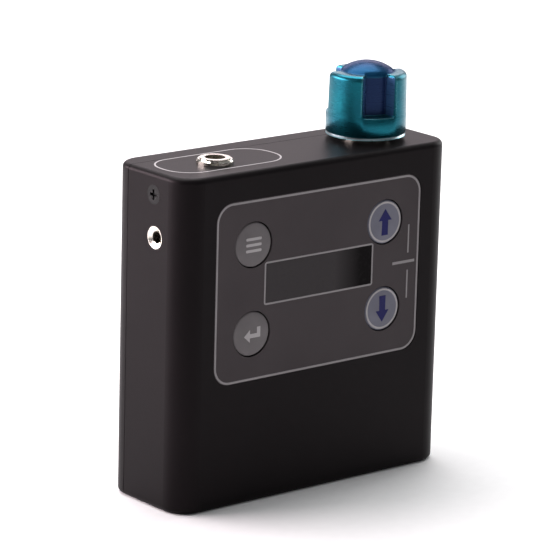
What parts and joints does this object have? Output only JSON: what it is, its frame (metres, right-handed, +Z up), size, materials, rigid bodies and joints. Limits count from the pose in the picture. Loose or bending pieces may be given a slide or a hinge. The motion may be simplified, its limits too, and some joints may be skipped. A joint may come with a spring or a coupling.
{
  "type": "wireless bodypack receiver",
  "caption": "Pocket-size wireless bodypack receiver: rounded black metal case, display and round keys on the front, phone jack and fluted volume knob on top, battery door at the back.",
  "frame": {"origin": "middle of the base that the receiver stands on", "axes": "+X to the right seen from the front, the front panel faces -Y, +Z up to the knob"},
  "size_m": [0.061, 0.0206, 0.0741],
  "materials": {
    "case_metal": "black anodised, fine satin",
    "black_screw": "black oxide",
    "bright_metal": "nickel plated, bright",
    "overlay_film": "fine matt polyester film",
    "display_window": "smoked clear",
    "display_glass": "display off",
    "white_plastic": "moulded",
    "grey_key": "satin",
    "blue_key": "satin",
    "red_plastic": "moulded",
    "tin_plate": "tin plated",
    "circuit_board": "solder mask",
    "black_plastic": "moulded",
    "brass": "turned",
    "teal_anodised": "teal anodised, bright satin",
    "gilt": "gold plated",
    "battery_case": "blue, satin",
    "battery_label": "plain white film"
  },
  "bodies": {
    "case": {"front_housing": "case_metal", "rear_shell": "case_metal", "case_screws": "black_screw", "side_screws": "black_screw", "clip_bush_left": "bright_metal", "clip_bush_right": "bright_metal", "front_overlay": "overlay_film", "display_window": "display_window", "display_glass": "display_glass", "display_holder": "white_plastic", "tact_switches": "tin_plate", "control_board": "circuit_board", "main_board": "circuit_board", "board_plug": "white_plastic", "board_socket": "black_plastic", "main_chips": "black_plastic", "radio_shield": "tin_plate", "board_spacers": "brass", "board_screws": "bright_metal", "board_posts": "brass", "case_posts": "bright_metal", "volume_pot": "tin_plate", "pot_washer": "bright_metal", "pot_nut": "bright_metal", "pot_terminals": "gilt", "jack_body": "black_plastic", "jack_ferrule": "bright_metal", "jack_nut": "bright_metal", "jack_contacts": "gilt", "battery_pack": "battery_case", "battery_label": "battery_label", "battery_terminals": "gilt", "battery_tray": "black_plastic", "contact_block": "black_plastic", "contact_pins": "gilt", "charge_block": "black_plastic", "charge_contacts": "gilt", "door_hinge_pin": "bright_metal"},
    "knob": {"volume_knob": "teal_anodised", "knob_set_screw": "black_screw", "pot_shaft": "bright_metal"},
    "menu_key": {"key_menu": "grey_key", "actuator_menu": "red_plastic"},
    "back_key": {"key_back": "grey_key", "actuator_back": "red_plastic"},
    "up_key": {"key_up": "blue_key", "actuator_up": "red_plastic"},
    "down_key": {"key_down": "blue_key", "actuator_down": "red_plastic"},
    "door": {"battery_door": "case_metal"}
  },
  "joints": [
    {"name": "volume_turn", "type": "hinge", "parent": "case", "child": "knob", "pos_m": [0.0185, 0, 0.06], "axis": [0, 0, -1], "range_deg": [0, 300]},
    {"name": "menu_press", "type": "slide", "parent": "case", "child": "menu_key", "axis": [0, 1, 0], "range_m": [0, 0.00035], "stiffness_N_per_m": 400, "springref_m": -0.0006},
    {"name": "back_press", "type": "slide", "parent": "case", "child": "back_key", "axis": [0, 1, 0], "range_m": [0, 0.00035], "stiffness_N_per_m": 400, "springref_m": -0.0006},
    {"name": "up_press", "type": "slide", "parent": "case", "child": "up_key", "axis": [0, 1, 0], "range_m": [0, 0.00035], "stiffness_N_per_m": 400, "springref_m": -0.0006},
    {"name": "down_press", "type": "slide", "parent": "case", "child": "down_key", "axis": [0, 1, 0], "range_m": [0, 0.00035], "stiffness_N_per_m": 400, "springref_m": -0.0006},
    {"name": "door_swing", "type": "hinge", "parent": "case", "child": "door", "pos_m": [0.0216, 0.00935, 0.02435], "axis": [0, 0, -1], "range_deg": [0, 100]}
  ]
}
